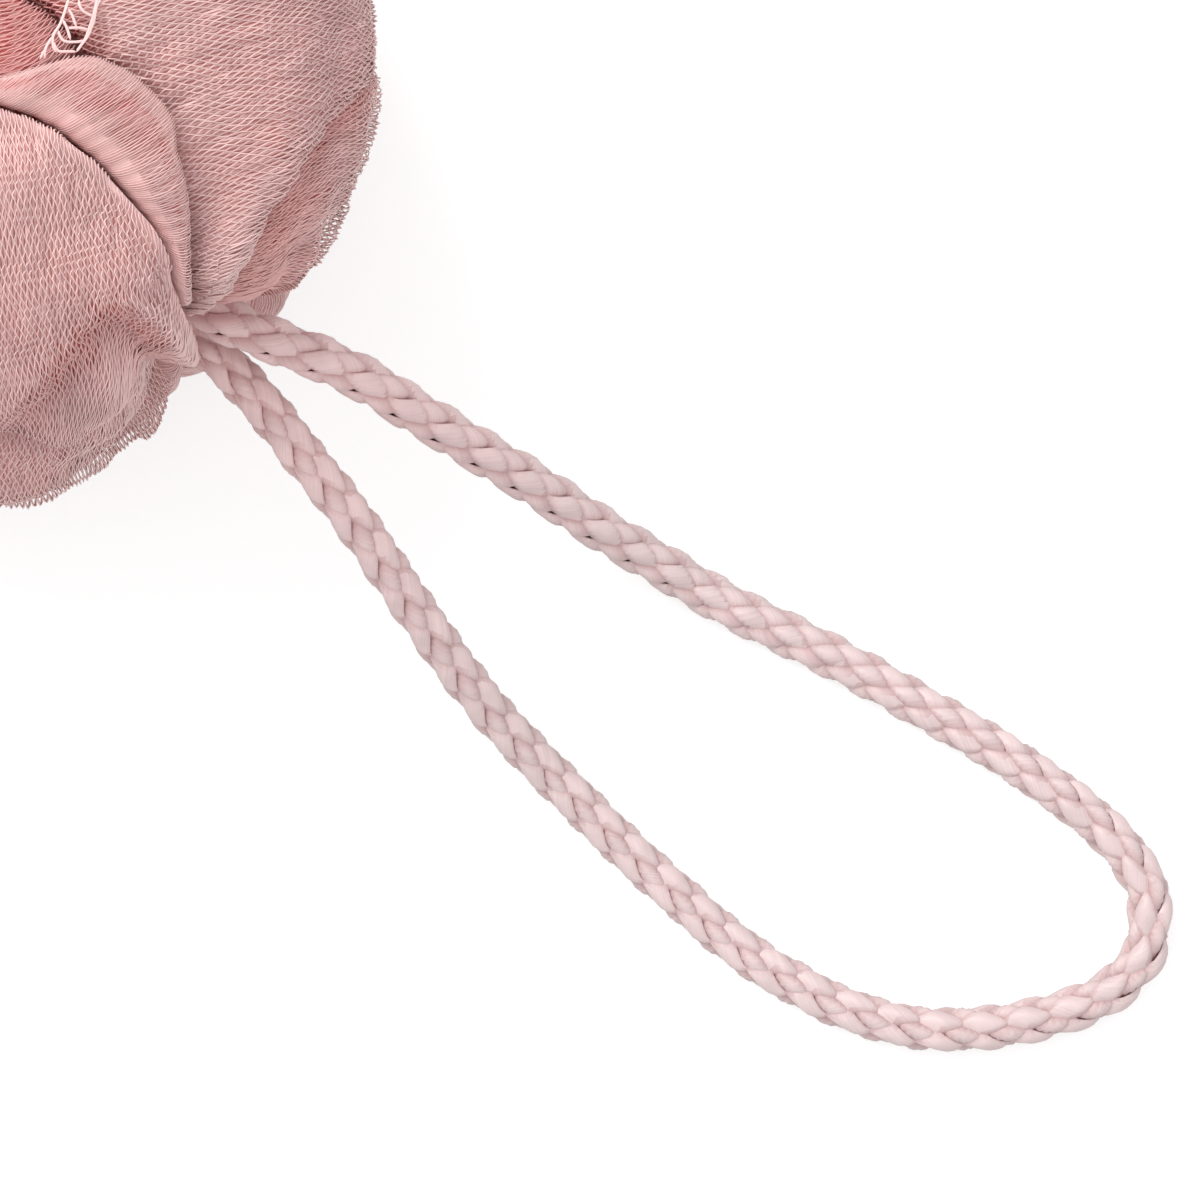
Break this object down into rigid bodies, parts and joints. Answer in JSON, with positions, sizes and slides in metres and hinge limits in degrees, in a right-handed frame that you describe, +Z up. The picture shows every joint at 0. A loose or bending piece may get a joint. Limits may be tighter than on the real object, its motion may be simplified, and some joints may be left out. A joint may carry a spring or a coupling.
{
  "type": "bath puff",
  "caption": "Round bath puff of gathered netting with a braided hand loop, lying on its flattened underside with the loop laid out in front.",
  "frame": {"origin": "on the surface that the ball rests on, below the middle of the ball's box", "axes": "+Z up from the resting surface; the mouth of the ball and the loop point between +X and -Y, 43.3 degrees below +X in plan"},
  "size_m": [0.2325, 0.1968, 0.1146],
  "materials": {
    "netting": "open diamond netting of fine satin polyethylene strands, dusty pink",
    "netting_core": "the same netting crowded into pleats, deeper pink where it is dense",
    "cord": "braided cord of flat satin strands, pale pink",
    "twine": "plain twisted twine, matt"
  },
  "bodies": {
    "root": {"fold_ridge": "netting", "fold_ruffle": "netting", "fold_tucked_end": "netting", "fold_right": "netting", "fold_right_under": "netting", "fold_base_right": "netting", "fold_base": "netting", "fold_base_left": "netting", "fold_left_under": "netting", "fold_rear_top": "netting", "fold_rear_right": "netting", "fold_rear_low_right": "netting", "fold_rear_low_left": "netting", "fold_rear_left": "netting", "net_core": "netting_core", "waist_twine": "twine", "cord_knot": "cord", "cord_loop": "cord"}
  },
  "joints": []
}
